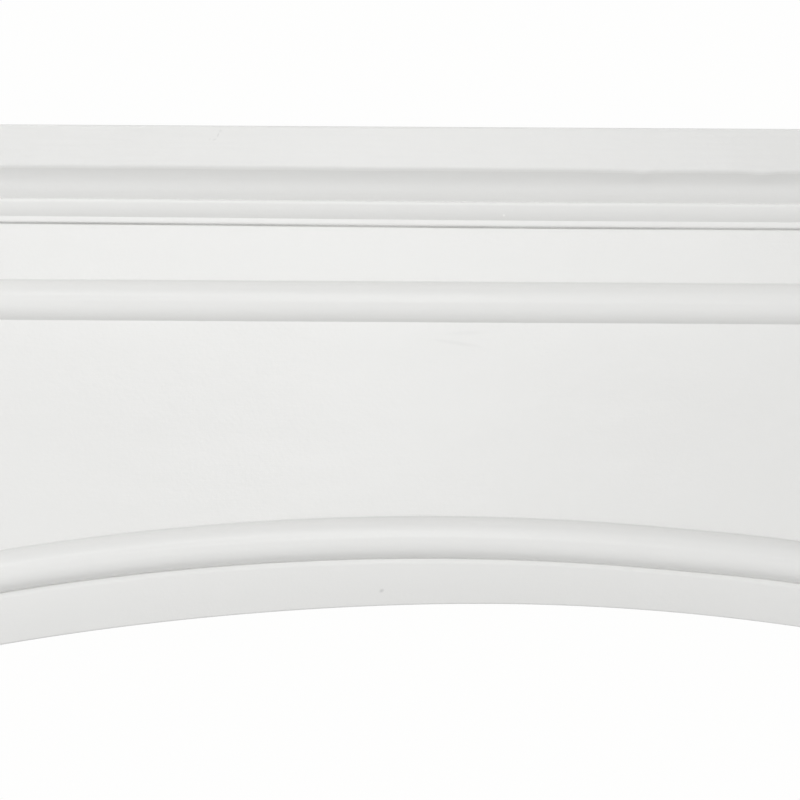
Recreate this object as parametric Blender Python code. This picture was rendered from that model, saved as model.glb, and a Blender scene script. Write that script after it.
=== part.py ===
"""Fireplace mantelpiece with a segmental arched opening, painted satin white.

A shelf on a cornice of a cyma, an ovolo and a fillet, a frieze board crossed by a half-round bead,
and a bolection moulding that follows the arch and runs down the legs to the plinths. The front, side
and lining boards make a body that is open at the back, where it stands against the wall.
X runs along the shelf, the front faces -Y, and the origin is on the floor at the centre of the box.
Sections are lists of (out, up) or (out, away) points: out is the distance in front of the face of the
boards, up is the height above the floor, and away is the distance from the edge of the opening.
"""

import math

import bmesh
import bpy
from mathutils import Vector

# Overall sizes, in metres
MANTEL_HEIGHT = 1.050
LEG_WIDTH = 0.170  # from the edge of the opening to the side of the body
BODY_DEPTH = 0.200  # from the wall to the face of the boards
BOARD = 0.018  # thickness of the front and side boards
CLEARANCE = 0.0003  # between pieces that touch

# Shelf
SHELF_THICKNESS = 0.025
SHELF_OVERHANG = 0.0016  # past the cornice
SHELF_TOP_ARRIS = 0.0018
SHELF_LOWER_ARRIS = 0.0030

# Cornice, from its foot up
CORNICE_SEAT = 0.004  # depth of the rebate in the boards that it is set into
SHADOW_GAP = 0.0015  # open line between the cornice and the band below it
FILLET_HEIGHT = 0.0036
FILLET_OUT = 0.0036
OVOLO_HEIGHT = 0.0103
OVOLO_HEAD_TILT = math.radians(20)  # how far the ovolo faces down under its arris, and at its foot
OVOLO_FOOT_TILT = math.radians(53)
OVOLO_ARRIS = 0.0016  # round top edge of the ovolo
OVOLO_LEDGE = 0.0012  # how far the ovolo stands out from the foot of the cyma
CYMA_HEIGHT = 0.0173
CYMA_FOOT_TILT = math.radians(50)  # how far the cyma faces down, at three heights
CYMA_WAIST_TILT = math.radians(32)
CYMA_HEAD_TILT = math.radians(62)

# Frieze
BAND_HEIGHT = 0.0313  # flat band between the cornice and the bead
BEAD_WIDTH = 0.0234
BEAD_OUT = 0.0080
FIELD_HEIGHT = 0.1137  # plain field between the bead and the moulding, over the arch's top

# Opening and the moulding round it
OPENING_WIDTH = 0.840
OPENING_RADIUS = 1.500
MOULDING_WIDTH = 0.0520
MOULDING_RABBET = 0.0350  # from the edge of the opening to the edge of the boards
MOULDING_BEAD_RADIUS = 0.0124
MOULDING_BEAD_SINK = 0.0028  # centre of the bead behind the face of the boards
SPLAY_NECK_LIFT = 0.0025  # top of the splay in front of the centre of the bead
SPLAY_NECK_TILT = math.radians(16)  # how far the splay faces into the opening, beside the bead
SPLAY_LIP_TILT = math.radians(27)  # and at the edge of the opening
LIP_ARRIS = 0.0015

# Lining of the opening
LINING = 0.012
LINING_SETBACK = 0.003

# Plinths
PLINTH_HEIGHT = 0.150
PLINTH_MARGIN = 0.010  # past the bead of the moulding that stands on the plinth
PLINTH_OVOLO = 0.008

# Fineness of the round shapes
ARC_STEPS = 8
BEAD_STEPS = 14
ARCH_STEPS = 36

PAINT_COLOUR = (0.84, 0.84, 0.83, 1.0)
PAINT_ROUGHNESS = 0.38

# Heights above the floor
SHELF_UNDERSIDE = MANTEL_HEIGHT - SHELF_THICKNESS
CYMA_FOOT = SHELF_UNDERSIDE - CYMA_HEIGHT
OVOLO_FOOT = CYMA_FOOT - OVOLO_HEIGHT
CORNICE_FOOT = OVOLO_FOOT - FILLET_HEIGHT
BAND_TOP = CORNICE_FOOT - SHADOW_GAP
BEAD_TOP = BAND_TOP - BAND_HEIGHT
BEAD_FOOT = BEAD_TOP - BEAD_WIDTH
MOULDING_APEX = BEAD_FOOT - FIELD_HEIGHT
OPENING_APEX = MOULDING_APEX - MOULDING_WIDTH
ARCH_CENTRE = OPENING_APEX - OPENING_RADIUS

# Distances in front of the face of the boards
OVOLO_RADIUS = (OVOLO_HEIGHT - OVOLO_ARRIS * (1 + math.sin(OVOLO_HEAD_TILT))) / (
    math.sin(OVOLO_FOOT_TILT) - math.sin(OVOLO_HEAD_TILT)
)
OVOLO_CENTRE = FILLET_OUT - OVOLO_RADIUS * math.cos(OVOLO_FOOT_TILT)
ARRIS_CENTRE = OVOLO_CENTRE + (OVOLO_RADIUS - OVOLO_ARRIS) * math.cos(OVOLO_HEAD_TILT)
CYMA_FOOT_OUT = ARRIS_CENTRE + OVOLO_ARRIS - OVOLO_LEDGE
CYMA_RADIUS = CYMA_HEIGHT / (
    math.sin(CYMA_FOOT_TILT) + math.sin(CYMA_HEAD_TILT) - 2 * math.sin(CYMA_WAIST_TILT)
)
CYMA_OUT = CYMA_FOOT_OUT + CYMA_RADIUS * (
    2 * math.cos(CYMA_WAIST_TILT) - math.cos(CYMA_FOOT_TILT) - math.cos(CYMA_HEAD_TILT)
)
SHELF_OUT = CYMA_OUT + SHELF_OVERHANG
MOULDING_OUT = MOULDING_BEAD_RADIUS - MOULDING_BEAD_SINK
PLINTH_OUT = MOULDING_OUT + PLINTH_MARGIN

# Planes of the body
HALF_OPENING = OPENING_WIDTH / 2
HALF_BODY = HALF_OPENING + LEG_WIDTH
BOARD_EDGE = HALF_OPENING + MOULDING_RABBET
BACK_Y = (BODY_DEPTH + SHELF_OUT) / 2
FACE_Y = BACK_Y - BODY_DEPTH
BEHIND_BOARD_Y = FACE_Y + BOARD + CLEARANCE


def arch_height(radius, x):
    """Height of the arc of this radius about the arch's centre, at a distance x from the middle."""
    return ARCH_CENTRE + math.sqrt(radius**2 - x**2)


# The leg boards end where the arc that the frieze board is cut to meets their inner edges.
JOINT_HEIGHT = arch_height(OPENING_RADIUS + MOULDING_RABBET, BOARD_EDGE)


def arc(centre_a, centre_b, radius, start, end, steps):
    """Points along an arc."""
    angles = [start + (end - start) * step / steps for step in range(steps + 1)]
    return [(centre_a + radius * math.cos(t), centre_b + radius * math.sin(t)) for t in angles]


def cornice_section():
    """Section of the cornice, from its foot at the back round the front to its top."""
    back = CLEARANCE - CORNICE_SEAT
    ovolo_b = OVOLO_FOOT + OVOLO_RADIUS * math.sin(OVOLO_FOOT_TILT)
    start, end = -OVOLO_FOOT_TILT, -OVOLO_HEAD_TILT
    ovolo = arc(OVOLO_CENTRE, ovolo_b, OVOLO_RADIUS, start, end, ARC_STEPS)
    arris_b = CYMA_FOOT - OVOLO_ARRIS
    arris = arc(ARRIS_CENTRE, arris_b, OVOLO_ARRIS, end, math.pi / 2, 6)
    foot_a = CYMA_FOOT_OUT - CYMA_RADIUS * math.cos(CYMA_FOOT_TILT)
    foot_b = CYMA_FOOT + CYMA_RADIUS * math.sin(CYMA_FOOT_TILT)
    swell = arc(foot_a, foot_b, CYMA_RADIUS, -CYMA_FOOT_TILT, -CYMA_WAIST_TILT, ARC_STEPS)
    head_a = CYMA_OUT + CYMA_RADIUS * math.cos(CYMA_HEAD_TILT)
    head_b = SHELF_UNDERSIDE - CYMA_RADIUS * math.sin(CYMA_HEAD_TILT)
    hollow_start = math.pi - CYMA_WAIST_TILT
    hollow_end = math.pi - CYMA_HEAD_TILT
    hollow = arc(head_a, head_b, CYMA_RADIUS, hollow_start, hollow_end, ARC_STEPS)
    top = SHELF_UNDERSIDE - CLEARANCE
    hollow[-1] = (hollow[-1][0], top)
    return (
        [(back, CORNICE_FOOT), (FILLET_OUT, CORNICE_FOOT)]
        + ovolo
        + arris[1:]
        + swell
        + hollow[1:]
        + [(back, top)]
    )


def bead_section():
    """Section of the half-round bead across the frieze."""
    half = BEAD_WIDTH / 2
    depth = BEAD_OUT - CLEARANCE
    radius = (half**2 + depth**2) / (2 * depth)
    reach = math.asin(half / radius)
    return arc(BEAD_OUT - radius, BEAD_FOOT + half, radius, -reach, reach, BEAD_STEPS)


def moulding_section():
    """Section of the moulding round the opening, as (out, away), from its lip to its bead."""
    radius = MOULDING_BEAD_RADIUS
    rise = MOULDING_BEAD_SINK + CLEARANCE
    bead_away = MOULDING_WIDTH - math.sqrt(radius**2 - rise**2)
    foot_angle = math.acos(rise / radius)
    neck_angle = -math.acos(SPLAY_NECK_LIFT / radius)
    bead = arc(-MOULDING_BEAD_SINK, bead_away, radius, neck_angle, foot_angle, BEAD_STEPS)

    neck_out, neck_away = bead[0]
    lip_away = LIP_ARRIS * (1 - math.sin(SPLAY_LIP_TILT))
    splay_radius = (neck_away - lip_away) / (math.sin(SPLAY_LIP_TILT) - math.sin(SPLAY_NECK_TILT))
    splay_out = neck_out - splay_radius * math.cos(SPLAY_NECK_TILT)
    splay_away = neck_away + splay_radius * math.sin(SPLAY_NECK_TILT)
    splay = arc(splay_out, splay_away, splay_radius, -SPLAY_LIP_TILT, -SPLAY_NECK_TILT, ARC_STEPS)
    lip_out = splay[0][0] - LIP_ARRIS * math.cos(SPLAY_LIP_TILT)
    lip = arc(lip_out, LIP_ARRIS, LIP_ARRIS, -math.pi / 2, -SPLAY_LIP_TILT, 4)

    rabbet = MOULDING_RABBET - CLEARANCE
    return (
        [(-BOARD, 0.0)]
        + lip
        + splay[1:]
        + bead[1:]
        + [(CLEARANCE, rabbet), (-BOARD, rabbet)]
    )


def front_points(section, x):
    """A section set across the front of the body, at a distance x from the middle."""
    return [Vector((x, FACE_Y - out, up)) for out, up in section]


def side_points(section, side, y):
    """A section set across one side of the body, at the depth y; side is -1 or 1."""
    return [Vector((side * (HALF_BODY + out), y, up)) for out, up in section]


def outline_solid(points, sweep):
    """A closed outline in space, extruded along the vector sweep."""
    solid = bmesh.new()
    face = solid.faces.new([solid.verts.new(point) for point in points])
    extruded = bmesh.ops.extrude_face_region(solid, geom=[face])
    far = [item for item in extruded["geom"] if isinstance(item, bmesh.types.BMVert)]
    bmesh.ops.translate(solid, vec=sweep, verts=far)
    return solid


def arch_solid(section, reach):
    """A section of (out, away) points spun about the arch's centre, reach radians to each side."""
    solid = bmesh.new()
    points = []
    for out, away in section:
        radius = OPENING_RADIUS + away
        x = -radius * math.sin(reach)
        points.append(Vector((x, FACE_Y - out, ARCH_CENTRE + radius * math.cos(reach))))
    face = solid.faces.new([solid.verts.new(point) for point in points])
    bmesh.ops.spin(
        solid,
        geom=[face],
        cent=Vector((0, 0, ARCH_CENTRE)),
        axis=Vector((0, 1, 0)),
        angle=2 * reach,
        steps=ARCH_STEPS,
    )
    return solid


def cut_flat(solid, point, outward):
    """Take away what lies past a plane, on the side that outward points to, and close the cut."""
    cut = bmesh.ops.bisect_plane(
        solid,
        geom=solid.verts[:] + solid.edges[:] + solid.faces[:],
        plane_co=point,
        plane_no=outward,
        clear_outer=True,
    )
    rim = [item for item in cut["geom_cut"] if isinstance(item, bmesh.types.BMEdge)]
    bmesh.ops.holes_fill(solid, edges=rim, sides=0)


def collection(name):
    """A new collection in the scene."""
    group = bpy.data.collections.new(name)
    bpy.context.scene.collection.children.link(group)
    return group


def paint(name):
    """The satin white paint of one piece."""
    material = bpy.data.materials.new(f"{name}_paint")
    material.use_nodes = True
    shader = material.node_tree.nodes["Principled BSDF"]
    shader.inputs["Base Color"].default_value = PAINT_COLOUR
    shader.inputs["Roughness"].default_value = PAINT_ROUGHNESS
    shader.inputs["Metallic"].default_value = 0.0
    return material


def piece(name, solid, group, smooth=False):
    """A named, painted object made of a bmesh solid."""
    bmesh.ops.recalc_face_normals(solid, faces=solid.faces)
    mesh = bpy.data.meshes.new(name)
    solid.to_mesh(mesh)
    solid.free()
    if smooth:
        mesh.shade_smooth()
        mesh.set_sharp_from_angle(angle=math.radians(30))
    mesh.materials.append(paint(name))
    item = bpy.data.objects.new(name, mesh)
    group.objects.link(item)
    return item


def box(low, high):
    """A box between two corners."""
    solid = bmesh.new()
    bmesh.ops.create_cube(solid, size=1.0)
    low, high = Vector(low), Vector(high)
    bmesh.ops.scale(solid, vec=high - low, verts=solid.verts)
    bmesh.ops.translate(solid, vec=(low + high) / 2, verts=solid.verts)
    return solid


def cutter(name, low, high, group):
    """A box that a Boolean takes away."""
    item = piece(name, box(low, high), group)
    item.display_type = "WIRE"
    item.hide_render = True
    return item


def take_away(item, tool):
    """Cut one object with another."""
    cut = item.modifiers.new(f"cut_{tool.name}", "BOOLEAN")
    cut.operation = "DIFFERENCE"
    cut.solver = "EXACT"
    cut.object = tool


def mesh_of_curve(curve_item, group):
    """The curve object made a welded mesh object of the same name."""
    bpy.context.view_layer.update()
    evaluated = curve_item.evaluated_get(bpy.context.evaluated_depsgraph_get())
    mesh = bpy.data.meshes.new_from_object(evaluated)
    solid = bmesh.new()
    solid.from_mesh(mesh)
    bmesh.ops.remove_doubles(solid, verts=solid.verts, dist=0.00001)
    bmesh.ops.transform(solid, matrix=curve_item.matrix_world, verts=solid.verts)
    name = curve_item.name
    curve = curve_item.data
    bpy.data.objects.remove(curve_item)
    bpy.data.curves.remove(curve)
    bpy.data.meshes.remove(mesh)
    return piece(name, solid, group)


def round_edges(solid, width, steps, planes):
    """Round the upper or lower edges that lie in the first plane and in one of the others.

    A plane is an axis number and a place along that axis.
    """

    def lies_in(edge, plane):
        """Whether both ends of the edge are in the plane."""
        axis, place = plane
        return all(abs(vert.co[axis] - place) < CLEARANCE / 2 for vert in edge.verts)

    level, *upright = planes
    edges = [
        edge
        for edge in solid.edges
        if lies_in(edge, level) and any(lies_in(edge, plane) for plane in upright)
    ]
    bmesh.ops.bevel(
        solid, geom=edges, offset=width, segments=steps, profile=0.5, affect="EDGES"
    )


def shelf(group):
    """The shelf board, with its front and end arrises rounded."""
    reach = HALF_BODY + SHELF_OUT
    front = FACE_Y - SHELF_OUT
    solid = box((-reach, front, SHELF_UNDERSIDE), (reach, BACK_Y, MANTEL_HEIGHT))
    upright = ((0, -reach), (0, reach), (1, front))
    round_edges(solid, SHELF_TOP_ARRIS, 3, ((2, MANTEL_HEIGHT), *upright))
    round_edges(solid, SHELF_LOWER_ARRIS, 4, ((2, SHELF_UNDERSIDE), *upright))
    piece("shelf", solid, group, smooth=True)


def mitred_run(name, section, group):
    """A moulding along the front, with its two returns to the wall, mitred at the corners."""
    margin = max(out for out, up in section)
    half = CLEARANCE / 2
    length = 2 * HALF_BODY + 4 * margin
    front = outline_solid(front_points(section, -length / 2), Vector((length, 0, 0)))
    for side in (-1, 1):
        corner = Vector((side * (HALF_BODY - half), FACE_Y, 0))
        cut_flat(front, corner, Vector((side, 1, 0)))
    piece(f"{name}_front", front, group, smooth=True)
    for side, label in ((-1, "left"), (1, "right")):
        start = FACE_Y - 2 * margin
        sweep = Vector((0, BACK_Y - start, 0))
        part = outline_solid(side_points(section, side, start), sweep)
        corner = Vector((side * (HALF_BODY + half), FACE_Y, 0))
        cut_flat(part, corner, Vector((-side, -1, 0)))
        piece(f"{name}_{label}", part, group, smooth=True)


def mitre_plane(side):
    """A point of the mitre between arch and leg mouldings, and its normal towards the leg."""
    inner = Vector((HALF_OPENING, 0, arch_height(OPENING_RADIUS, HALF_OPENING)))
    outer_x = HALF_OPENING + MOULDING_WIDTH
    outer = Vector((outer_x, 0, arch_height(OPENING_RADIUS + MOULDING_WIDTH, outer_x)))
    along = outer - inner
    normal = Vector((along.z, 0, -along.x)).normalized()
    return Vector((side * inner.x, 0, inner.z)), Vector((side * normal.x, 0, normal.z))


def opening_moulding(group):
    """The bolection moulding: a curved length over the arch and a straight one down each leg."""
    section = moulding_section()
    outer = OPENING_RADIUS + MOULDING_WIDTH
    reach = math.asin((HALF_OPENING + MOULDING_WIDTH) / outer) + MOULDING_WIDTH / outer
    arch = arch_solid(section, reach)
    for side, label in ((-1, "left"), (1, "right")):
        point, towards_leg = mitre_plane(side)
        cut_flat(arch, point - towards_leg * CLEARANCE / 2, towards_leg)
        foot = PLINTH_HEIGHT + CLEARANCE
        points = [
            Vector((side * (HALF_OPENING + away), FACE_Y - out, foot)) for out, away in section
        ]
        leg = outline_solid(points, Vector((0, 0, MOULDING_APEX - foot)))
        cut_flat(leg, point + towards_leg * CLEARANCE / 2, -towards_leg)
        piece(f"leg_moulding_{label}", leg, group, smooth=True)
    piece("arch_moulding", arch, group, smooth=True)


def frieze_board(group):
    """The front board over the opening, its lower edge cut to an arc under the moulding."""
    top = SHELF_UNDERSIDE - CLEARANCE
    radius = OPENING_RADIUS + MOULDING_RABBET
    reach = math.asin(BOARD_EDGE / radius)
    start, end = math.pi / 2 + reach, math.pi / 2 - reach
    lower_edge = arc(0, ARCH_CENTRE, radius, start, end, ARCH_STEPS)
    outline = (
        [(-HALF_BODY, top), (-HALF_BODY, JOINT_HEIGHT)]
        + lower_edge
        + [(HALF_BODY, JOINT_HEIGHT), (HALF_BODY, top)]
    )
    curve = bpy.data.curves.new("frieze_board", "CURVE")
    curve.dimensions = "2D"
    curve.fill_mode = "BOTH"
    curve.extrude = BOARD / 2
    spline = curve.splines.new("POLY")
    spline.points.add(len(outline) - 1)
    for point, (x, up) in zip(spline.points, outline):
        point.co = (x, up, 0, 1)
    spline.use_cyclic_u = True
    item = bpy.data.objects.new("frieze_board", curve)
    item.location = (0, FACE_Y + BOARD / 2, 0)
    item.rotation_euler = (math.pi / 2, 0, 0)
    group.objects.link(item)
    return mesh_of_curve(item, group)


def leg(side, label, group):
    """One leg: its front board, outer side board, lining board and plinth."""

    def across(near, far):
        """The two x of a board that runs from near to far from the middle, low one first."""
        return sorted((side * near, side * far))

    near, far = across(BOARD_EDGE, HALF_BODY)
    low = (near, FACE_Y, PLINTH_HEIGHT + CLEARANCE)
    high = (far, FACE_Y + BOARD, JOINT_HEIGHT - CLEARANCE)
    piece(f"leg_board_{label}", box(low, high), group)

    near, far = across(HALF_BODY - BOARD, HALF_BODY)
    low = (near, BEHIND_BOARD_Y, 0)
    high = (far, BACK_Y, SHELF_UNDERSIDE - CLEARANCE)
    side_board = piece(f"side_board_{label}", box(low, high), group)

    inner = HALF_OPENING + LINING_SETBACK
    near, far = across(inner, inner + LINING)
    low = (near, BEHIND_BOARD_Y, 0)
    high = (far, BACK_Y, arch_height(OPENING_RADIUS + LINING_SETBACK + LINING, inner))
    piece(f"reveal_board_{label}", box(low, high), group)

    plinth(side, label, group)
    return side_board


def plinth(side, label, group):
    """The plinth block that the leg stands on, and its return along the side of the body."""
    outer = side * (HALF_BODY + PLINTH_OUT)
    low_x, high_x = sorted((side * HALF_OPENING, outer))
    front = FACE_Y - PLINTH_OUT
    block = box((low_x, front, 0), (high_x, FACE_Y + BOARD, PLINTH_HEIGHT))
    round_edges(block, PLINTH_OVOLO, ARC_STEPS, ((2, PLINTH_HEIGHT), (0, outer), (1, front)))
    piece(f"plinth_{label}", block, group, smooth=True)

    low_x, high_x = sorted((side * (HALF_BODY + CLEARANCE), outer))
    back_length = box((low_x, BEHIND_BOARD_Y, 0), (high_x, BACK_Y, PLINTH_HEIGHT))
    round_edges(back_length, PLINTH_OVOLO, ARC_STEPS, ((2, PLINTH_HEIGHT), (0, outer)))
    piece(f"plinth_return_{label}", back_length, group, smooth=True)


def soffit(group):
    """The bent board that lines the arch, between the reveal boards."""
    behind = -(BOARD + CLEARANCE)
    face = LINING_SETBACK
    back = LINING_SETBACK + LINING
    section = [(behind, face), (-BODY_DEPTH, face), (-BODY_DEPTH, back), (behind, back)]
    reach = math.asin((HALF_OPENING + LINING_SETBACK) / OPENING_RADIUS) + LINING / OPENING_RADIUS
    solid = arch_solid(section, reach)
    for side in (-1, 1):
        edge = Vector((side * (HALF_OPENING + LINING_SETBACK - CLEARANCE), 0, 0))
        cut_flat(solid, edge, Vector((side, 0, 0)))
    piece("soffit_board", solid, group, smooth=True)


def cornice_seat(items, group):
    """The rebate round the top of the boards that the cornice is set into."""
    reach = HALF_BODY + SHELF_OUT
    front = FACE_Y - SHELF_OUT
    top = MANTEL_HEIGHT
    back = BACK_Y + CORNICE_SEAT
    seats = (
        ("seat_front", (-reach, front, BAND_TOP), (reach, FACE_Y + CORNICE_SEAT, top)),
        ("seat_left", (-reach, front, BAND_TOP), (CORNICE_SEAT - HALF_BODY, back, top)),
        ("seat_right", (HALF_BODY - CORNICE_SEAT, front, BAND_TOP), (reach, back, top)),
    )
    for name, low, high in seats:
        tool = cutter(name, low, high, group)
        for item in items:
            take_away(item, tool)


def main():
    """Clear the scene and build the mantelpiece."""
    for item in list(bpy.data.objects):
        bpy.data.objects.remove(item)
    group = collection("fireplace_mantelpiece")
    tools = collection("cutters")

    shelf(group)
    mitred_run("cornice", cornice_section(), group)
    mitred_run("frieze_bead", bead_section(), group)
    opening_moulding(group)
    boards = [frieze_board(group), leg(-1, "left", group), leg(1, "right", group)]
    soffit(group)
    cornice_seat(boards, tools)


main()
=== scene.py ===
"""Looks of the painted fireplace mantelpiece: its finish, its fine mouldings, the light and the camera.

Every piece is rebuilt finely from the same section as its solid, with the rounding that brush and
caulk leave at each edge and joint. Sections are closed lists of (out, up) points: out is the distance
in front of the face of the boards, and up is a height, or the distance away from the opening's edge.
"""

import math

import bmesh
import bpy
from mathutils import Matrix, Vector


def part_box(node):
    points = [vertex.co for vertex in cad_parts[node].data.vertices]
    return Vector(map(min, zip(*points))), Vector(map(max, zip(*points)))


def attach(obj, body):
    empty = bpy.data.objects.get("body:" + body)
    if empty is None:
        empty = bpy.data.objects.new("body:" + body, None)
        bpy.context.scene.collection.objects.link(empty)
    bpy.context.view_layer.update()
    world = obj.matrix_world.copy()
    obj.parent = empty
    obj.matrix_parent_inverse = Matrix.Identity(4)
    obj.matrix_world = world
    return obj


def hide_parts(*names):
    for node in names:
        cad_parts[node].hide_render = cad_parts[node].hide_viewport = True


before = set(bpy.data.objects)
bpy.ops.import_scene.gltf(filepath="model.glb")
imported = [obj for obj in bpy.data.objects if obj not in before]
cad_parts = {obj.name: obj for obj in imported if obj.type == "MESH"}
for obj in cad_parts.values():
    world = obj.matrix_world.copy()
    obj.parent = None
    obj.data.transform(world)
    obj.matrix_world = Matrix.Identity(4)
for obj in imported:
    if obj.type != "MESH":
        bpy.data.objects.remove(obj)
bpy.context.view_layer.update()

# Planes and sizes of the frame
BOARD_LOW, BOARD_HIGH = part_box("frieze_board")
SHELF_LOW, SHELF_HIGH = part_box("shelf")
CORNICE_LOW, CORNICE_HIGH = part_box("cornice_front")
BEAD_LOW, BEAD_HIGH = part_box("frieze_bead_front")
ARCH_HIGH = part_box("arch_moulding")[1]
LEG_LOW, LEG_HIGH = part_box("leg_moulding_right")
SOFFIT_LOW, SOFFIT_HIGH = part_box("soffit_board")
REVEAL_LOW, REVEAL_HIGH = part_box("reveal_board_right")

FACE_Y = BOARD_LOW.y
BACK_Y = SHELF_HIGH.y
HALF_BODY = BOARD_HIGH.x
HALF_OPENING = LEG_LOW.x
BOARD = BOARD_HIGH.y - BOARD_LOW.y
BAND_DROP = CORNICE_HIGH.z - CORNICE_LOW.z
MOULDING_WIDTH = LEG_HIGH.x - LEG_LOW.x
SHELF_OUT = FACE_Y - SHELF_LOW.y
CLEARANCE = 0.0003

# Sections, as in the solids, but for 0.1 mm of paint on the radius of the arch's bead
FILLET_HEIGHT = 0.0036
FILLET_OUT = 0.0036
OVOLO_HEIGHT = 0.0103
OVOLO_HEAD_TILT = math.radians(20)
OVOLO_FOOT_TILT = math.radians(53)
OVOLO_ARRIS = 0.0016
OVOLO_LEDGE = 0.0012
CYMA_FOOT_TILT = math.radians(50)
CYMA_WAIST_TILT = math.radians(32)
CYMA_HEAD_TILT = math.radians(62)
CORNICE_SEAT = 0.004
SHELF_TOP_ARRIS = 0.0018
OPENING_RADIUS = 1.500
MOULDING_RABBET = 0.0350
MOULDING_BEAD_RADIUS = 0.0125
MOULDING_BEAD_SINK = 0.0028
SPLAY_NECK_LIFT = 0.0025
SPLAY_NECK_TILT = math.radians(16)
SPLAY_LIP_TILT = math.radians(27)
LIP_ARRIS = 0.0015
PLINTH_OVOLO = 0.008
ARCH_CENTRE = ARCH_HIGH.z - MOULDING_WIDTH - OPENING_RADIUS

# How far paint and caulk round or fill what the saw and the router left sharp
PAINT_ARRIS = 0.0005
FILLET_ARRIS = 0.0015
LEDGE_FILL = 0.0005
FILLET_FILL = 0.0008
CREASE = 0.0002  # of the finest creases, and how deep a moulding is bedded in its board
BEAD_FILL = 0.0006
BOARD_ARRIS = 0.0010
SHELF_LOWER_ARRIS = 0.0026
CAULK_DROP = 0.0006
CAULK_MEETING = math.radians(40)  # how far down the arris faces where the caulk dies out
GROOVE_WIDTH = 0.0007
GROOVE_DEPTH = 0.0007
CREASE_DEPTH = 0.0005  # of the fine line left between the bead and the splay
CREASE_WIDTH = 0.0006
SPLAY_FLAT = 0.0019  # narrow flat beside the bead, before the splay starts to slope
SPLAY_EASING = 0.0012

# What is out of true: the cornice's foot slopes along the frieze, the lip wanders from the arch's
# bead, the bead rises at the right, and the caulked joint and the groove waver. Waves are of
# (height, radians in a metre, phase).
SETTLING = 0.00065
SETTLING_MEAN = 0.00015
SETTLING_MIDDLE = -0.10
SETTLING_LENGTH = 0.12
LIP_DRIFT = 0.0033
LIP_DRIFT_LENGTH = 0.150
LIP_DRIFT_MIDDLE = -0.004
STRAIGHT_LIP_FROM = 0.26
BEAD_DRIFT = 0.0010
BEAD_DRIFT_FROM, BEAD_DRIFT_TO = 0.13, 0.21
CAULK_LEAN = 0.0005
CAULK_LEAN_LENGTH = 0.20
CAULK_WAVES = ((0.00013, 31, 0.6), (0.00008, 83, 2.0))
CAULK_DIPS = ((0.1165, 0.005, 0.0006), (0.1860, 0.006, 0.0008))  # x, half width and depth
GROOVE_WAVES = ((0.00015, 23, 0.0), (0.0001, 61, 1.0))
PAINT_BRIDGE = (0.0478, 0.0016, 0.75)  # x, half width and share filled by a drop of paint

# Stations along the mantelpiece, and steps of the arcs in its sections
RUN_STEPS = 400  # where something wanders along the front
BEAD_RUN_STEPS = 60
ARCH_STEPS = 160
SOFFIT_STEPS = 80
BEAD_STEPS = 40
OVOLO_STEPS = 20
CYMA_STEPS = 16
ARRIS_STEPS = 8
SPLAY_STEPS = 80
FILL_STEPS = 5
SIDES = ((-1, "left"), (1, "right"))
SHARP_ANGLE = math.radians(35)  # edges that turn by more stay sharp in the shading

# The paint: noises as waves in a metre along each axis, depths in metres, changes of lightness
LIGHTNESS = 0.86
BLUE_SHARE = 0.985
CLOUD_WAVES = (5, 5, 9)
STIPPLE_WAVES = (420, 420, 420)
SLOW_WAVES = (14, 14, 26)
BOARD_GRAIN = (60, 60, 900)
UPRIGHT_GRAIN = (900, 60, 60)
MOULDING_GRAIN = (40, 700, 700)
SHELF_GRAIN = (18, 450, 450)
CLOUD_TONE = 0.006
STIPPLE_TONE = 0.003
DRAG_TONE = 0.004
SLOW_DEPTH = 0.0004
DRAG_DEPTH = 0.00002
STIPPLE_DEPTH = 0.00007
ROUGHNESS = (0.12, 0.19)
STIPPLE_ROUGHNESS = 0.02
PAINT_IOR = 1.5
# The shelf's paint is set darker than the rest: painted shade for the fainter reflection of the
# softboxes on the shelf's face
SHELF_SHADED_LIGHTNESS = 0.832
SHELF_DRAG_DEPTH = 0.00012
MARK_CORE = 0.3  # share of a mark's reach that has its full strength

# Small marks in the paint: centre, turn in degrees, reach along each axis, and change of lightness
FIELD_MARKS = (
    ((0.0100, FACE_Y, 0.9252), 8.0, (0.0165, 0.02, 0.0016), -0.030),
    ((0.0146, FACE_Y, 0.9312), -3.0, (0.0150, 0.02, 0.0017), -0.022),
)
SHELF_MARKS = (
    ((-0.1282, SHELF_LOW.y, 1.0469), 0.0, (0.0013, 0.01, 0.0012), -0.05),
    ((-0.1296, SHELF_LOW.y, 1.0445), -70.0, (0.0018, 0.01, 0.0006), -0.09),
    ((-0.1316, SHELF_LOW.y, 1.0419), -20.0, (0.0016, 0.01, 0.0008), -0.06),
    ((-0.1344, SHELF_LOW.y, 1.0420), -50.0, (0.0011, 0.01, 0.0006), -0.04),
)
MOULDING_MARKS = (
    ((-0.0335, FACE_Y, 0.7799), -30.0, (0.0019, 0.02, 0.0014), -0.18),
    ((0.0366, FACE_Y, 0.9999), 0.0, (0.0010, 0.02, 0.0010), 0.14),
)

# The camera, from the photograph: metres a pixel on the frieze, and where its centre line lies
CAMERA_DISTANCE = 2.5
SCALE_AT_FACE = 0.585e-3
FRAME_PIXELS = 800
CENTRE_LINE_PIXEL = 440
ROLL = math.radians(0.335)
CAMERA_HEIGHT = 0.8918
SENSOR = 36.0

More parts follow.
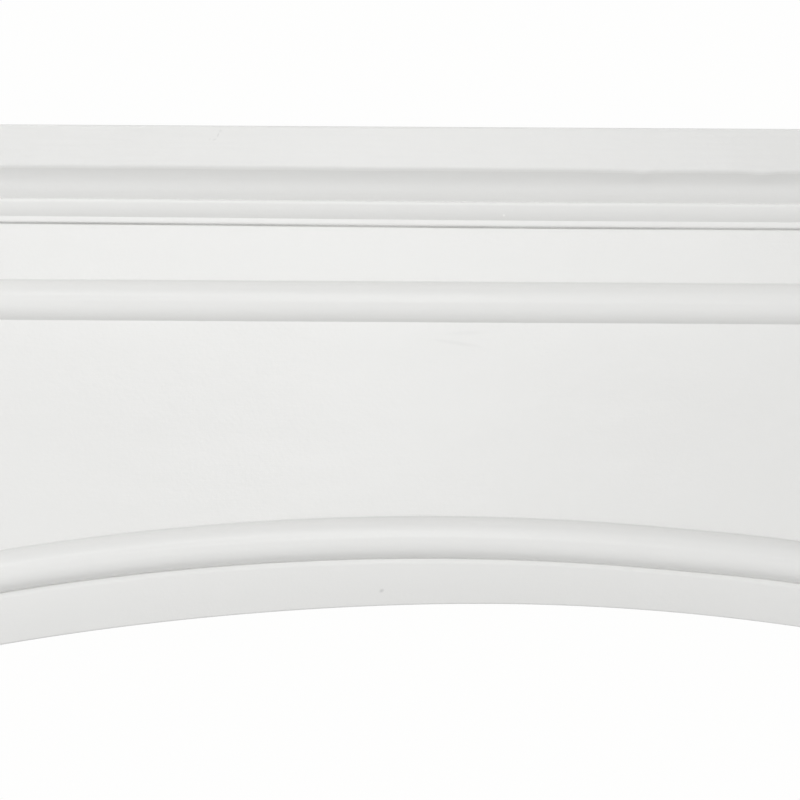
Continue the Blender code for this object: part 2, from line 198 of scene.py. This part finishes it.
# The light: the strength of the surroundings, and softboxes of (name, centre, size, aim, watts)
SURROUNDINGS = 0.348
BACKDROP = 0.991
MIDDLE = (-0.02, 0.0, 0.90)
SOFTBOXES = (
    ("key", (-1.25, -2.60, 2.00), (1.0, 0.9), MIDDLE, 7.9),
    ("key_side", (-1.90, -1.90, 1.75), (0.9, 0.9), MIDDLE, 9.6),
    ("left_fill", (-2.30, -1.60, 1.40), (0.8, 0.8), MIDDLE, 13.7),
    ("right_fill", (2.30, -1.60, 1.45), (0.8, 0.8), MIDDLE, 9.6),
    ("low", (0.0, -2.30, 0.30), (2.2, 0.5), MIDDLE, 5.4),
    ("overhead", (0.0, -2.10, 2.90), (1.2, 0.8), MIDDLE, 1.5),
    ("top", (0.0, 0.10, 2.90), (1.4, 0.6), (0.0, 0.10, 0.0), 7.5),
    ("window", (-0.07, -3.10, 1.96), (0.30, 2.48), (-0.07, 0.0, 1.96), 3.9),
    ("window_right", (0.22, -3.10, 2.12), (0.28, 2.15), (0.22, 0.0, 2.12), 1.5),
    ("window_left", (-0.485, -3.10, 2.70), (0.53, 1.00), (-0.485, 0.0, 2.70), 2.0),
    ("window_foot", (-0.09, -3.10, 1.075), (1.02, 0.19), (-0.09, 0.0, 1.075), 1.3),
    ("window_corner", (0.27, -3.10, 1.11), (0.34, 0.13), (0.27, 0.0, 1.11), 0.55),
)
UNREFLECTED = ("low",)  # softboxes that light the paint but aren't mirrored in it
AIR = (1.0, 1.0, 0.996, 1.0)  # the colour of surroundings and backdrop
FLOOR_SIZE = 5.0
FLOOR_WAVES = (2, 2, 2)
FLOOR_LIGHTNESS = (0.80, 0.83)
FLOOR_ROUGHNESS = 0.9


def arc(centre_a, centre_b, radius, start, end, steps):
    """Points along an arc."""
    angles = [start + (end - start) * step / steps for step in range(steps + 1)]
    return [(centre_a + radius * math.cos(t), centre_b + radius * math.sin(t)) for t in angles]


def rounded(corners):
    """An outline through corners of (a, b, radius), each corner turned into an arc of its radius.

    An arc takes less than half of each side, so points beside a wide one are left out by callers.
    """
    outline = []
    count = len(corners)
    for index, (a, b, radius) in enumerate(corners):
        here = Vector((a, b))
        if radius <= 0:
            outline.append((a, b))
            continue
        before = Vector(corners[index - 1][:2]) - here
        after = Vector(corners[(index + 1) % count][:2]) - here
        reach = radius / math.tan(before.angle(after) / 2)
        reach = min(reach, before.length * 0.49, after.length * 0.49)
        start = here + before.normalized() * reach
        end = here + after.normalized() * reach
        for step in range(FILL_STEPS + 1):
            t = step / FILL_STEPS
            point = start.lerp(here, t).lerp(here.lerp(end, t), t)
            outline.append((point.x, point.y))
    return outline


def sharp(points):
    """Outline points as corners that stay as they are."""
    return [(a, b, 0.0) for a, b in points]


def quarter(radius, steps):
    """Distances from the two faces that a rounded arris joins, going from the one to the other."""
    angles = [math.pi / 2 * step / steps for step in range(steps + 1)]
    return [(radius * (1 - math.cos(t)), radius * (1 - math.sin(t))) for t in angles]


def waves(x, terms):
    """A sum of sine waves at x."""
    return sum(height * math.sin(rate * x + phase) for height, rate, phase in terms)


def smooth_step(t):
    """A smooth rise from 0 to 1 as t goes from 0 to 1."""
    t = min(max(t, 0.0), 1.0)
    return t * t * (3 - 2 * t)


def settle(x):
    """How far the foot of the cornice was fitted out of true, at x along the mantelpiece."""
    return SETTLING_MEAN - SETTLING * math.tanh((x - SETTLING_MIDDLE) / SETTLING_LENGTH)


def caulk_line(x):
    """How far the caulked joint under the shelf runs off its line, with the dips left by the tool."""
    wander = waves(x, CAULK_WAVES) - CAULK_LEAN * math.tanh(x / CAULK_LEAN_LENGTH)
    dips = [depth * math.exp(-(((x - place) / width) ** 2)) for place, width, depth in CAULK_DIPS]
    return wander - CAULK_DROP - sum(dips)


def cornice_sag(x, up):
    """The cornice's foot follows the settling, and its top stays against the shelf."""
    share = (CORNICE_HIGH.z - up) / BAND_DROP
    return settle(x) * share + caulk_line(x) * smooth_step(1 - 4 * share)


def groove_depth(x):
    """How deep the open line under the cornice is left by the paint, at x along the mantelpiece."""
    place, width, filled = PAINT_BRIDGE
    depth = GROOVE_DEPTH + waves(x, GROOVE_WAVES)
    return depth * (1 - filled * math.exp(-(((x - place) / width) ** 4)))


def dying_out(x):
    """1 over the middle of the arch, falling to 0 at the legs, where the moulding is true again."""
    return 1 - smooth_step((abs(x) - STRAIGHT_LIP_FROM) / (HALF_OPENING - STRAIGHT_LIP_FROM))


def lip_drift(x):
    """How far the opening's edge lies off the arc of the bead; below zero is into the opening."""
    return LIP_DRIFT * math.tanh((x - LIP_DRIFT_MIDDLE) / LIP_DRIFT_LENGTH) * dying_out(x)


def bead_drift(x):
    """How far the arch's bead itself rises off its arc towards the right."""
    share = (x - BEAD_DRIFT_FROM) / (BEAD_DRIFT_TO - BEAD_DRIFT_FROM)
    return BEAD_DRIFT * smooth_step(share) * dying_out(x)


def cornice_section():
    """Section of the cornice with paint-softened arrises, from its foot round to its top."""
    foot, underside = CORNICE_LOW.z, SHELF_LOW.z
    back = CLEARANCE - CORNICE_SEAT
    ovolo_foot = foot + FILLET_HEIGHT
    cyma_foot = ovolo_foot + OVOLO_HEIGHT
    head, base = OVOLO_HEAD_TILT, OVOLO_FOOT_TILT
    drop = OVOLO_HEIGHT - OVOLO_ARRIS * (1 + math.sin(head))
    radius = drop / (math.sin(base) - math.sin(head))
    centre = FILLET_OUT - radius * math.cos(base)
    ovolo = arc(centre, ovolo_foot + radius * math.sin(base), radius, -base, -head, OVOLO_STEPS)
    arris_out = ovolo[-1][0] - OVOLO_ARRIS * math.cos(head)
    centre_up = cyma_foot - OVOLO_ARRIS
    arris = arc(arris_out, centre_up, OVOLO_ARRIS, -head, math.pi / 2, OVOLO_STEPS // 2)

    foot_out = arris_out + OVOLO_ARRIS - OVOLO_LEDGE
    sines = math.sin(CYMA_FOOT_TILT) + math.sin(CYMA_HEAD_TILT) - 2 * math.sin(CYMA_WAIST_TILT)
    radius = (underside - cyma_foot) / sines
    cosines = 2 * math.cos(CYMA_WAIST_TILT) - math.cos(CYMA_FOOT_TILT) - math.cos(CYMA_HEAD_TILT)
    head_out = foot_out + radius * cosines
    swell_a = foot_out - radius * math.cos(CYMA_FOOT_TILT)
    swell_b = cyma_foot + radius * math.sin(CYMA_FOOT_TILT)
    swell = arc(swell_a, swell_b, radius, -CYMA_FOOT_TILT, -CYMA_WAIST_TILT, CYMA_STEPS)
    hollow_a = head_out + radius * math.cos(CYMA_HEAD_TILT)
    hollow_b = underside - radius * math.sin(CYMA_HEAD_TILT)
    start, end = math.pi - CYMA_WAIST_TILT, math.pi - CYMA_HEAD_TILT
    hollow = arc(hollow_a, hollow_b, radius, start, end, CYMA_STEPS)

    # The caulk runs on from the cyma and dies out against the shelf's rounded lower arris.
    caulk_out = SHELF_OUT - SHELF_LOWER_ARRIS * (1 - math.cos(CAULK_MEETING))
    caulk_up = underside + SHELF_LOWER_ARRIS * (1 - math.sin(CAULK_MEETING))
    inside = caulk_out - SHELF_LOWER_ARRIS
    corners = [(back, foot, 0.0), (FILLET_OUT, foot, FILLET_ARRIS)]
    corners += [(FILLET_OUT, ovolo_foot, FILLET_FILL)]
    corners += sharp(ovolo[2:]) + sharp(arris[1:-2])
    corners += [(foot_out, cyma_foot, LEDGE_FILL)]
    corners += sharp(swell[3:]) + sharp(hollow[1:-1])
    corners += [(head_out, underside, PAINT_ARRIS), (caulk_out, caulk_up, 0.0)]
    corners += [(inside, caulk_up, 0.0), (back, CORNICE_HIGH.z, 0.0)]
    return rounded(corners)


def frieze_bead_section():
    """Section of the half-round bead across the frieze."""
    half = (BEAD_HIGH.z - BEAD_LOW.z) / 2
    depth = FACE_Y - BEAD_LOW.y - CLEARANCE
    radius = (half**2 + depth**2) / (2 * depth)
    reach = math.asin(half / radius)
    centre = CLEARANCE + depth - radius
    bead = arc(centre, BEAD_LOW.z + half, radius, -reach, reach, BEAD_STEPS)
    low, high = BEAD_LOW.z - BEAD_FILL, BEAD_HIGH.z + BEAD_FILL
    corners = [(-CREASE, low, 0.0), (*bead[0], BEAD_FILL)]
    corners += sharp(bead[2:-2])
    corners += [(*bead[-1], BEAD_FILL), (-CREASE, high, 0.0)]
    return rounded(corners)


def moulding_section():
    """Section of the moulding round the opening, as (out, away), from its lip to its bead."""
    radius = MOULDING_BEAD_RADIUS
    rise = MOULDING_BEAD_SINK + CLEARANCE
    bead_away = MOULDING_WIDTH - math.sqrt(radius**2 - rise**2)
    neck_angle = -math.acos(SPLAY_NECK_LIFT / radius)
    foot_angle = math.acos(rise / radius)
    bead = arc(-MOULDING_BEAD_SINK, bead_away, radius, neck_angle, foot_angle, BEAD_STEPS)

    neck_out, neck_away = bead[0]
    out, away = neck_out, neck_away - CREASE_WIDTH
    lip_away = LIP_ARRIS * (1 - math.sin(SPLAY_LIP_TILT))
    splay = [(out, away)]
    stride = (away - lip_away) / SPLAY_STEPS
    for step in range(SPLAY_STEPS):
        share = (step + 0.5) / SPLAY_STEPS
        tilt = SPLAY_NECK_TILT + (SPLAY_LIP_TILT - SPLAY_NECK_TILT) * share
        tilt *= smooth_step((stride * (step + 0.5) - SPLAY_FLAT) / SPLAY_EASING)
        out, away = out - stride * math.tan(tilt), away - stride
        splay.append((out, away))
    splay.reverse()
    lip_out = splay[0][0] - LIP_ARRIS * math.cos(SPLAY_LIP_TILT)
    lip = arc(lip_out, LIP_ARRIS, LIP_ARRIS, -math.pi / 2, -SPLAY_LIP_TILT, ARRIS_STEPS)

    # The tongue behind the bead keeps clear of the frieze board where the bead rises.
    rabbet = MOULDING_RABBET - CLEARANCE - BEAD_DRIFT
    corners = [(-BOARD, 0.0, 0.0)] + sharp(lip) + sharp(splay[1:-2])
    corners += [(*splay[-1], CREASE)]
    corners += [(neck_out - CREASE_DEPTH, neck_away - CREASE_WIDTH / 3, CREASE / 2)]
    corners += sharp(bead[:-2]) + [(*bead[-1], BEAD_FILL)]
    corners += [(-CREASE, MOULDING_WIDTH + BEAD_FILL, 0.0), (-CREASE, rabbet, 0.0)]
    corners += [(-BOARD, rabbet, 0.0)]
    return rounded(corners)


def board_section(low, drop, depth=GROOVE_DEPTH, inset=0.0):
    """Section of a front or side board down to the height low, with the groove under the cornice."""
    top = CORNICE_HIGH.z
    foot = CORNICE_LOW.z + drop
    outline = rounded(
        [
            (-BOARD, top, 0.0),
            (-BOARD, low, 0.0),
            (0.0, low, 0.0),
            (0.0, foot - GROOVE_WIDTH, PAINT_ARRIS),
            (-depth, foot - GROOVE_WIDTH, PAINT_ARRIS / 2),
            (-depth, foot, 0.0),
            (-CORNICE_SEAT, foot, 0.0),
            (-CORNICE_SEAT, top, 0.0),
        ]
    )
    return [(min(out, -inset), up) for out, up in outline]


def sweep_mesh(name, stations):
    """A closed mesh through stations, each a list of points round the same closed section."""
    mesh = bmesh.new()
    loops = [[mesh.verts.new(point) for point in station] for station in stations]
    count = len(loops[0])
    for first, second in zip(loops, loops[1:]):
        for index in range(count):
            following = (index + 1) % count
            mesh.faces.new((first[index], first[following], second[following], second[index]))
    ends = [mesh.faces.new(loops[0]), mesh.faces.new(list(reversed(loops[-1])))]
    bmesh.ops.triangulate(mesh, faces=ends)
    bmesh.ops.recalc_face_normals(mesh, faces=mesh.faces)
    data = bpy.data.meshes.new(name)
    mesh.to_mesh(data)
    mesh.free()
    return data


def add_piece(name, data, node, material):
    """The mesh as a piece of the mantelpiece, standing for the node of the frame it rebuilds."""
    data.shade_smooth()
    data.set_sharp_from_angle(angle=SHARP_ANGLE)
    data.materials.append(material)
    item = bpy.data.objects.new(name, data)
    bpy.context.scene.collection.objects.link(item)
    flats = item.modifiers.new("true_flats", "WEIGHTED_NORMAL")
    flats.keep_sharp = True
    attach(item, "root")
    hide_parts(node)


def front_run(section, steps, sag):
    """Stations of a moulding along the front, mitred at both ends of the body."""
    stations = []
    for step in range(steps + 1):
        along = 2 * step / steps - 1
        points = []
        for out, up in section:
            x = along * (HALF_BODY + out - CLEARANCE / 2)
            drop = sag(x, up) if sag else 0.0
            points.append(Vector((x, FACE_Y - out, up + drop)))
        stations.append(points)
    return stations


def side_run(section, side, sag):
    """Stations of a moulding along one side of the body, from its mitre to the wall."""
    near, far = [], []
    for out, up in section:
        x = side * (HALF_BODY + out)
        up += sag(x, up) if sag else 0.0
        near.append(Vector((x, FACE_Y - out + CLEARANCE / 2, up)))
        far.append(Vector((x, BACK_Y, up)))
    return [near, far]


def frieze_stations():
    """Stations of the frieze board, its lower edge on the arc under the moulding's bead."""
    ease = [HALF_BODY - BOARD_ARRIS * (1 - math.cos(math.radians(a))) for a in (90, 60, 30, 0)]
    inner = HALF_BODY - BOARD_ARRIS
    middle = [inner * (2 * step / RUN_STEPS - 1) for step in range(1, RUN_STEPS)]
    places = sorted([-x for x in ease] + middle + ease)
    radius = OPENING_RADIUS + MOULDING_RABBET
    stations = []
    for x in places:
        low = BOARD_LOW.z
        if abs(x) < HALF_OPENING + MOULDING_RABBET:
            low = max(low, arch_height(radius, x))
        edge = max(0.0, abs(x) - inner)
        inset = BOARD_ARRIS - math.sqrt(max(0.0, BOARD_ARRIS**2 - edge**2))
        section = board_section(low, settle(x), groove_depth(x), inset)
        stations.append([Vector((x, FACE_Y - out, up)) for out, up in section])
    return stations


def side_board_stations(side):
    """Stations of a side board, from behind the front board to the wall."""
    low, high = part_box("side_board_right")
    section = board_section(low.z, settle(side * HALF_BODY))
    return [
        [Vector((side * (HALF_BODY + out), y, up)) for out, up in section] for y in (low.y, high.y)
    ]


def arch_height(radius, x):
    """Height of an arc about the arch's centre, at a distance x from the middle."""
    return ARCH_CENTRE + math.sqrt(radius**2 - x**2)


def mitre_line(away):
    """The point of the mitre between arch and leg at this distance from the opening's edge."""
    inner = Vector((HALF_OPENING, arch_height(OPENING_RADIUS, HALF_OPENING)))
    outer_x = HALF_OPENING + MOULDING_WIDTH
    outer = Vector((outer_x, arch_height(OPENING_RADIUS + MOULDING_WIDTH, outer_x)))
    return inner.lerp(outer, away / MOULDING_WIDTH)


def arch_run(section, steps, end_x, drift=None):
    """Stations of a section swept over the arch, ending at end_x(away) to both sides."""
    stations = []
    for step in range(steps + 1):
        along = 2 * step / steps - 1
        points = []
        for out, away in section:
            radius = OPENING_RADIUS + away
            reach = math.asin(end_x(away) / radius) - CLEARANCE / 2 / radius
            angle = along * reach
            if drift:
                radius += drift(radius * math.sin(angle), away)
            x, up = radius * math.sin(angle), ARCH_CENTRE + radius * math.cos(angle)
            points.append(Vector((x, FACE_Y - out, up)))
        stations.append(points)
    return stations


def moulding_drift(x, away):
    """The drift of a point of the moulding: the splay lies between the lip and the bead."""
    neck = MOULDING_WIDTH - 2 * MOULDING_BEAD_RADIUS
    share = min(1.0, away / neck)
    return lip_drift(x) * (1 - share) + bead_drift(x) * share


def leg_run(section, side):
    """Stations of the moulding down one leg, from the plinth up to the mitre."""
    low, high = [], []
    for out, away in section:
        x = side * (HALF_OPENING + away)
        top = mitre_line(away).y - CLEARANCE / 2
        low.append(Vector((x, FACE_Y - out, LEG_LOW.z)))
        high.append(Vector((x, FACE_Y - out, top)))
    return [low, high]


def board_mesh(name, node):
    """The box of a flat board with every arris rounded."""
    low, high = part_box(node)
    mesh = bmesh.new()
    bmesh.ops.create_cube(mesh, size=1.0)
    bmesh.ops.scale(mesh, vec=high - low, verts=mesh.verts)
    bmesh.ops.translate(mesh, vec=(low + high) / 2, verts=mesh.verts)
    edges = mesh.edges[:]
    bmesh.ops.bevel(
        mesh, geom=edges, offset=BOARD_ARRIS, segments=3, profile=0.5, affect="EDGES"
    )
    data = bpy.data.meshes.new(name)
    mesh.to_mesh(data)
    mesh.free()
    return data


def layered_mesh(name, low, high, levels, rounds, steps=2, drop=None):
    """A block in plan layers of (height, inset), drawn in on the sides named in rounds.

    The upright arrises between two of those sides are rounded too. The front has this many steps.
    """
    radius = BOARD_ARRIS
    stations = []
    for up, inset in levels:
        left = low.x + (inset if "left" in rounds else 0.0)
        right = high.x - (inset if "right" in rounds else 0.0)
        front = low.y + inset
        plan = [(left, high.y)]
        if "left" in rounds:
            plan += arc(left + radius, front + radius, radius, math.pi, 1.5 * math.pi, 4)
        else:
            plan += [(left, front)]
        first, last = plan[-1][0], right - (radius if "right" in rounds else 0.0)
        plan += [(first + (last - first) * step / steps, front) for step in range(1, steps)]
        if "right" in rounds:
            plan += arc(right - radius, front + radius, radius, 1.5 * math.pi, 2 * math.pi, 4)
        else:
            plan += [(right, front)]
        plan += [(right, high.y)]
        stations.append([Vector((x, y, up + (drop(x, up) if drop else 0.0))) for x, y in plan])
    return sweep_mesh(name, stations)


def shelf_mesh():
    """The shelf board, its lower arris running out into the caulk over the cornice."""
    top, underside = SHELF_HIGH.z, SHELF_LOW.z
    levels = [(underside + rise, inset) for rise, inset in quarter(SHELF_LOWER_ARRIS, ARRIS_STEPS)]
    levels += [(top - fall, inset) for inset, fall in quarter(SHELF_TOP_ARRIS, 6)]

    def wander(x, up):
        """The lower arris follows the caulked joint, and the rest of the edge is straight."""
        below = underside + 2 * SHELF_LOWER_ARRIS - up
        return caulk_line(x) * smooth_step(below / SHELF_LOWER_ARRIS)

    sides = ("left", "right")
    return layered_mesh("shelf_painted", SHELF_LOW, SHELF_HIGH, levels, sides, RUN_STEPS, wander)


def plinth_mesh(name, node, rounds):
    """A plinth block with its rounded upper edge."""
    low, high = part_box(node)
    levels = [(low.z, PAINT_ARRIS), (low.z + PAINT_ARRIS, 0.0)]
    levels += [(high.z - fall, inset) for inset, fall in quarter(PLINTH_OVOLO, 12)]
    return layered_mesh(name, low, high, levels, rounds)


class Nodes:
    """Short calls that add shader nodes to one material."""

    def __init__(self, name):
        self.material = bpy.data.materials.new(name)
        self.material.use_nodes = True
        self.tree = self.material.node_tree
        self.shader = self.tree.nodes["Principled BSDF"]
        self.place = self.tree.nodes.new("ShaderNodeTexCoord").outputs["Object"]

    def link(self, source, target):
        """Join two sockets."""
        self.tree.links.new(source, target)

    def stretched(self, scale):
        """The object's coordinates times a scale along each axis."""
        mapping = self.tree.nodes.new("ShaderNodeMapping")
        mapping.inputs["Scale"].default_value = scale
        self.link(self.place, mapping.inputs["Vector"])
        return mapping.outputs["Vector"]

    def noise(self, scale, detail=2.0, roughness=0.5):
        """A noise between 0 and 1, with its number of waves in a metre along each axis."""
        noise = self.tree.nodes.new("ShaderNodeTexNoise")
        noise.inputs["Scale"].default_value = 1.0
        noise.inputs["Detail"].default_value = detail
        noise.inputs["Roughness"].default_value = roughness
        self.link(self.stretched(scale), noise.inputs["Vector"])
        return noise.outputs["Fac"]

    def ranged(self, source, low, high, start=0.0, end=1.0):
        """A value from start..end carried to low..high."""
        ranged = self.tree.nodes.new("ShaderNodeMapRange")
        ranged.inputs["From Min"].default_value = start
        ranged.inputs["From Max"].default_value = end
        ranged.inputs["To Min"].default_value = low
        ranged.inputs["To Max"].default_value = high
        self.link(source, ranged.inputs["Value"])
        return ranged.outputs["Result"]

    def spot(self, centre, turn, reach):
        """1 at the centre of a small mark of this turn and reach, falling to 0 at its rim."""
        mapping = self.tree.nodes.new("ShaderNodeMapping")
        mapping.vector_type = "TEXTURE"
        mapping.inputs["Location"].default_value = centre
        mapping.inputs["Rotation"].default_value = (0.0, math.radians(turn), 0.0)
        mapping.inputs["Scale"].default_value = reach
        self.link(self.place, mapping.inputs["Vector"])
        length = self.tree.nodes.new("ShaderNodeVectorMath")
        length.operation = "LENGTH"
        self.link(mapping.outputs["Vector"], length.inputs[0])
        return self.ranged(length.outputs["Value"], 1.0, 0.0, MARK_CORE, 1.0)

    def maths(self, operation, first, second):
        """Two values joined by a sum, product or other operation."""
        node = self.tree.nodes.new("ShaderNodeMath")
        node.operation = operation
        for socket, value in zip(node.inputs, (first, second)):
            if isinstance(value, (int, float)):
                socket.default_value = value
            else:
                self.link(value, socket)
        return node.outputs["Value"]

    def bump(self, height, distance, below=None):
        """A bump of this height in metres, over another bump."""
        bump = self.tree.nodes.new("ShaderNodeBump")
        bump.inputs["Strength"].default_value = 1.0
        bump.inputs["Distance"].default_value = distance
        self.link(height, bump.inputs["Height"])
        if below is not None:
            self.link(below, bump.inputs["Normal"])
        return bump.outputs["Normal"]


def painted(name, grain, marks=(), lightness=LIGHTNESS, drag_depth=DRAG_DEPTH):
    """Satin white paint: rolled stipple, faint brush drag along the grain, and slow waviness."""
    nodes = Nodes(name)
    cloud = nodes.noise(CLOUD_WAVES, 3.0)
    fine = nodes.noise(STIPPLE_WAVES, 3.0, 0.6)
    drag = nodes.noise(grain)
    clouded = nodes.ranged(cloud, -CLOUD_TONE, CLOUD_TONE)
    stippled = nodes.ranged(fine, -STIPPLE_TONE, STIPPLE_TONE)
    tone = nodes.maths("ADD", clouded, stippled)
    tone = nodes.maths("ADD", tone, nodes.ranged(drag, -DRAG_TONE, DRAG_TONE))
    for centre, turn, reach, change in marks:
        mark = nodes.maths("MULTIPLY", nodes.spot(centre, turn, reach), change)
        tone = nodes.maths("ADD", tone, mark)
    level = nodes.maths("ADD", tone, lightness)
    colour = nodes.tree.nodes.new("ShaderNodeCombineColor")
    nodes.link(level, colour.inputs["Red"])
    nodes.link(level, colour.inputs["Green"])
    nodes.link(nodes.maths("MULTIPLY", level, BLUE_SHARE), colour.inputs["Blue"])
    nodes.link(colour.outputs["Color"], nodes.shader.inputs["Base Color"])
    speckle = nodes.ranged(fine, -STIPPLE_ROUGHNESS, STIPPLE_ROUGHNESS)
    rough = nodes.maths("ADD", nodes.ranged(cloud, *ROUGHNESS), speckle)
    nodes.link(rough, nodes.shader.inputs["Roughness"])
    nodes.shader.inputs["IOR"].default_value = PAINT_IOR
    slow = nodes.bump(nodes.noise(SLOW_WAVES), SLOW_DEPTH)
    dragged = nodes.bump(drag, drag_depth, below=slow)
    grained = nodes.bump(fine, STIPPLE_DEPTH, below=dragged)
    nodes.link(grained, nodes.shader.inputs["Normal"])
    return nodes.material


def build_header(boards, mouldings, shelf_paint_and_shade):
    """The shelf, the cornice, the frieze board and its bead."""
    add_piece("shelf_painted", shelf_mesh(), "shelf", shelf_paint_and_shade)
    data = sweep_mesh("frieze_board_painted", frieze_stations())
    add_piece("frieze_board_painted", data, "frieze_board", boards)
    runs = (
        ("cornice", cornice_section(), RUN_STEPS, cornice_sag),
        ("frieze_bead", frieze_bead_section(), BEAD_RUN_STEPS, None),
    )
    for stem, section, steps, sag in runs:
        data = sweep_mesh(f"{stem}_front_run", front_run(section, steps, sag))
        add_piece(f"{stem}_front_run", data, f"{stem}_front", mouldings)
        for side, label in SIDES:
            name = f"{stem}_{label}_return"
            data = sweep_mesh(name, side_run(section, side, sag))
            add_piece(name, data, f"{stem}_{label}", mouldings)


def build_opening(mouldings, upright, boards):
    """The moulding round the opening, and the lining behind it."""
    section = moulding_section()
    stations = arch_run(section, ARCH_STEPS, lambda away: mitre_line(away).x, moulding_drift)
    data = sweep_mesh("arch_moulding_run", stations)
    add_piece("arch_moulding_run", data, "arch_moulding", mouldings)

    face = REVEAL_LOW.x - HALF_OPENING
    back = face + REVEAL_HIGH.x - REVEAL_LOW.x
    behind, wall = FACE_Y - SOFFIT_LOW.y, FACE_Y - SOFFIT_HIGH.y
    lining = rounded(
        [
            (behind, face, BOARD_ARRIS),
            (wall, face, BOARD_ARRIS),
            (wall, back, 0.0),
            (behind, back, 0.0),
        ]
    )
    stations = arch_run(lining, SOFFIT_STEPS, lambda away: SOFFIT_HIGH.x)
    data = sweep_mesh("soffit_board_painted", stations)
    add_piece("soffit_board_painted", data, "soffit_board", boards)
    for side, label in SIDES:
        name = f"leg_moulding_{label}_run"
        data = sweep_mesh(name, leg_run(section, side))
        add_piece(name, data, f"leg_moulding_{label}", upright)
        name = f"reveal_board_{label}_painted"
        data = board_mesh(name, f"reveal_board_{label}")
        add_piece(name, data, f"reveal_board_{label}", upright)


def build_legs(upright):
    """The boards and plinths of both legs."""
    for side, label in SIDES:
        name = f"leg_board_{label}_painted"
        data = board_mesh(name, f"leg_board_{label}")
        add_piece(name, data, f"leg_board_{label}", upright)
        name = f"side_board_{label}_painted"
        data = sweep_mesh(name, side_board_stations(side))
        add_piece(name, data, f"side_board_{label}", upright)
        for stem in ("plinth", "plinth_return"):
            name = f"{stem}_{label}_painted"
            data = plinth_mesh(name, f"{stem}_{label}", (label,))
            add_piece(name, data, f"{stem}_{label}", upright)


def build_pieces():
    """Every piece of the mantelpiece, over the frame's nodes."""
    boards = painted("board_paint", BOARD_GRAIN, FIELD_MARKS)
    upright = painted("upright_paint", UPRIGHT_GRAIN)
    mouldings = painted("moulding_paint", MOULDING_GRAIN, MOULDING_MARKS)
    # The shelf's copy of the paint is darker: painted shade for the weaker reflection on its face,
    # together with its real scratch marks
    shelf_paint_and_shade = painted(
        "shelf_paint_and_shade", SHELF_GRAIN, SHELF_MARKS, SHELF_SHADED_LIGHTNESS, SHELF_DRAG_DEPTH
    )
    build_header(boards, mouldings, shelf_paint_and_shade)
    build_opening(mouldings, upright, boards)
    build_legs(upright)


def build_floor():
    """A plain pale floor, short enough to leave the view through the opening clear."""
    bpy.ops.mesh.primitive_plane_add(size=FLOOR_SIZE, location=(0, 0, 0))
    floor = bpy.context.object
    floor.name = "floor"
    nodes = Nodes("floor_paper")
    level = nodes.ranged(nodes.noise(FLOOR_WAVES), *FLOOR_LIGHTNESS)
    colour = nodes.tree.nodes.new("ShaderNodeCombineColor")
    for channel in ("Red", "Green", "Blue"):
        nodes.link(level, colour.inputs[channel])
    nodes.link(colour.outputs["Color"], nodes.shader.inputs["Base Color"])
    nodes.shader.inputs["Roughness"].default_value = FLOOR_ROUGHNESS
    floor.data.materials.append(nodes.material)


def softbox(name, centre, size, aim, power):
    """A rectangular studio light that the camera doesn't see."""
    light = bpy.data.lights.new(name, "AREA")
    light.shape = "RECTANGLE"
    light.size, light.size_y = size
    light.energy = power
    item = bpy.data.objects.new(name, light)
    item.location = centre
    item.rotation_euler = (Vector(aim) - Vector(centre)).to_track_quat("-Z", "Y").to_euler()
    item.visible_camera = False
    item.visible_glossy = name not in UNREFLECTED
    bpy.context.scene.collection.objects.link(item)


def build_light():
    """Pale surroundings, white where the camera sees them, and softboxes on every side in front."""
    world = bpy.data.worlds.new("studio")
    bpy.context.scene.world = world
    world.use_nodes = True
    tree = world.node_tree
    tree.nodes.clear()
    around = tree.nodes.new("ShaderNodeBackground")
    seen = tree.nodes.new("ShaderNodeBackground")
    path = tree.nodes.new("ShaderNodeLightPath")
    mix = tree.nodes.new("ShaderNodeMixShader")
    out = tree.nodes.new("ShaderNodeOutputWorld")
    around.inputs["Strength"].default_value = SURROUNDINGS
    seen.inputs["Strength"].default_value = BACKDROP
    tree.links.new(path.outputs["Is Camera Ray"], mix.inputs["Fac"])
    tree.links.new(around.outputs["Background"], mix.inputs[1])
    tree.links.new(seen.outputs["Background"], mix.inputs[2])
    tree.links.new(mix.outputs["Shader"], out.inputs["Surface"])
    for background in (around, seen):
        background.inputs["Color"].default_value = AIR
    view_settings = bpy.context.scene.view_settings
    view_settings.view_transform = "Standard"
    view_settings.look = "None"
    for name, centre, size, aim, power in SOFTBOXES:
        softbox(name, centre, size, aim, power)


def build_camera():
    """The camera square on to the frieze, at the photograph's distance, height and slight roll."""
    camera = bpy.data.cameras.new("camera")
    camera.sensor_width = SENSOR
    camera.lens = SENSOR * CAMERA_DISTANCE / (SCALE_AT_FACE * FRAME_PIXELS)
    camera.clip_end = 100.0
    item = bpy.data.objects.new("camera", camera)
    offset = (FRAME_PIXELS / 2 - CENTRE_LINE_PIXEL) * SCALE_AT_FACE
    item.location = (offset, FACE_Y - CAMERA_DISTANCE, CAMERA_HEIGHT)
    item.rotation_euler = (math.pi / 2, -ROLL, 0)
    bpy.context.scene.collection.objects.link(item)
    bpy.context.scene.camera = item


build_pieces()
build_floor()
build_light()
build_camera()
